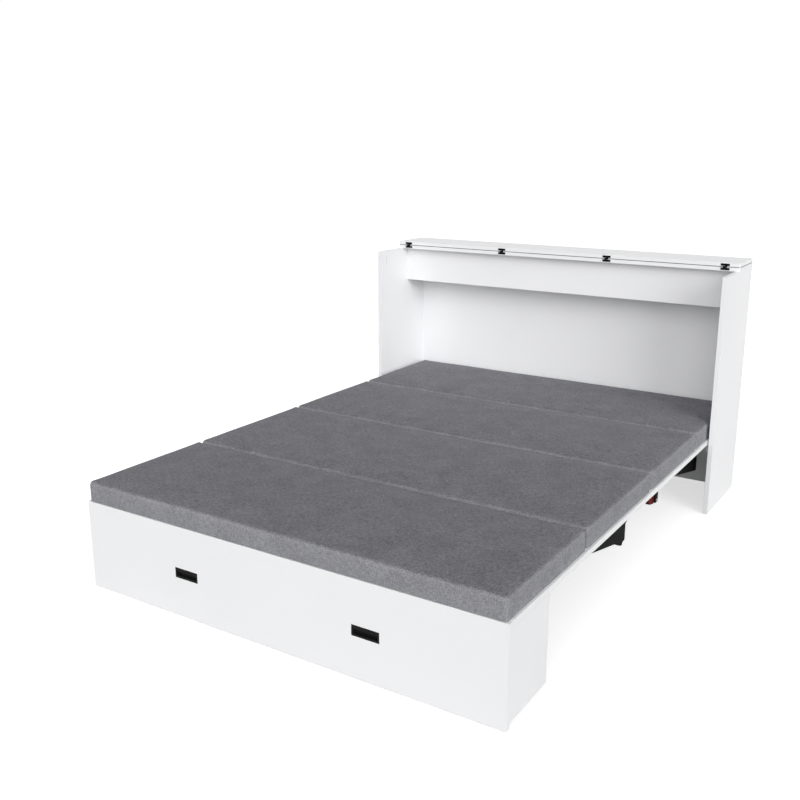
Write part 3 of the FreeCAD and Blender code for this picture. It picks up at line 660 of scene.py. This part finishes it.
def make_screws(materials):
    """Two screws in each lid hinge leaf."""
    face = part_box("lid_rear_leaf")[0][1] - LEAF_PROUD
    lower_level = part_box("lid_hinge_lower_leaves")[0][2] + SCREW_INSET
    upper_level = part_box("lid_hinge_upper_leaves")[1][2] - SCREW_INSET
    for word, level, body in (("low", lower_level, "bed_frame"),
                              ("up", upper_level, "lid_front")):
        for i, middle in enumerate(LID_HINGES):
            for j, shift in enumerate((-SCREW_SPREAD, SCREW_SPREAD)):
                name = "screw_%s_%d_%d" % (word, i, j)
                data = screw_mesh(name, SCREW_RADIUS, SCREW_RISE)
                turned(data, (0, -1, 0), (middle + shift, face, level))
                add_piece(name, data, materials["black_steel"], body)


# ---------------------------------------------------------------- light and stage
FLOOR_HALF = 40.0
FLOOR_DROP = 0.0005      # the floor's clearance under the bed
FLOOR_MATT = 0.8         # what the camera sees of it: matt white,
FLOOR_GLOW = 0.6         # with this much glow added
FLOOR_DULL = 0.3         # what it gives back to other rays
BACKDROP = 1.02          # the world as the camera sees it
AMBIENT = 0.38           # and as the bed is lit by it


def by_ray(tree, others, seen, out):
    """Shader seen for rays from the camera or off a gloss, and others for all other rays."""
    rays = tree.nodes.new("ShaderNodeLightPath")
    either = tree.nodes.new("ShaderNodeMath")
    either.operation = "MAXIMUM"
    mix = tree.nodes.new("ShaderNodeMixShader")
    link = tree.links.new
    link(rays.outputs["Is Camera Ray"], either.inputs[0])
    link(rays.outputs["Is Glossy Ray"], either.inputs[1])
    link(either.outputs[0], mix.inputs[0])
    link(others.outputs[0], mix.inputs[1])
    link(seen.outputs[0], mix.inputs[2])
    link(mix.outputs[0], out.inputs["Surface"])


def make_stage():
    """A floor that is near white to the camera and keeps the bed's shadow."""
    data = bpy.data.meshes.new("floor")
    corners = [(x * FLOOR_HALF, y * FLOOR_HALF, 0)
               for x, y in ((-1, -1), (1, -1), (1, 1), (-1, 1))]
    data.from_pydata(corners, [], [(0, 1, 2, 3)])
    floor = linked("floor", data)
    floor.location.z = -FLOOR_DROP
    material = bpy.data.materials.new("floor")
    material.use_nodes = True
    tree = material.node_tree
    tree.nodes.clear()
    out = tree.nodes.new("ShaderNodeOutputMaterial")
    matt = tree.nodes.new("ShaderNodeBsdfDiffuse")
    matt.inputs["Color"].default_value = (FLOOR_MATT, FLOOR_MATT, FLOOR_MATT, 1)
    dull = tree.nodes.new("ShaderNodeBsdfDiffuse")
    dull.inputs["Color"].default_value = (FLOOR_DULL, FLOOR_DULL, FLOOR_DULL, 1)
    glow = tree.nodes.new("ShaderNodeEmission")
    glow.inputs["Strength"].default_value = FLOOR_GLOW
    both = tree.nodes.new("ShaderNodeAddShader")
    tree.links.new(matt.outputs[0], both.inputs[0])
    tree.links.new(glow.outputs[0], both.inputs[1])
    by_ray(tree, dull, both, out)
    data.materials.append(material)


def make_world():
    """White to the camera, and an even soft light on the part."""
    world = bpy.data.worlds.new("studio")
    bpy.context.scene.world = world
    world.use_nodes = True
    tree = world.node_tree
    tree.nodes.clear()
    out = tree.nodes.new("ShaderNodeOutputWorld")
    light, plain = [tree.nodes.new("ShaderNodeBackground") for _ in range(2)]
    for shader, strength in ((light, AMBIENT), (plain, BACKDROP)):
        shader.inputs["Color"].default_value = (1, 1, 1, 1)
        shader.inputs["Strength"].default_value = strength
    by_ray(tree, light, plain, out)


LAMPS = {
    # name: direction that the light comes from, strength, width of the soft source in degrees
    "front": ((0.15, -1.0, 0.36), 1.25, 50.0),
    "side": ((0.85, -0.5, 0.30), 2.05, 40.0),
    "top": ((0.0, -0.25, 1.0), 0.35, 70.0),
}


def make_lamps():
    for name, (direction, strength, width) in LAMPS.items():
        data = bpy.data.lights.new(name, "SUN")
        data.energy = strength
        data.angle = math.radians(width)
        lamp = linked(name, data)
        lamp.location = direction
        lamp.rotation_euler = (-Vector(direction)).to_track_quat("-Z", "Y").to_euler()


make_camera()
MATERIALS = make_materials()
dress_cad(MATERIALS)
make_pads(MATERIALS)
make_braces(MATERIALS)
make_lid_shadow_strip(MATERIALS)
make_screws(MATERIALS)
make_stage()
make_world()
make_lamps()
bpy.context.scene.view_settings.view_transform = "Standard"
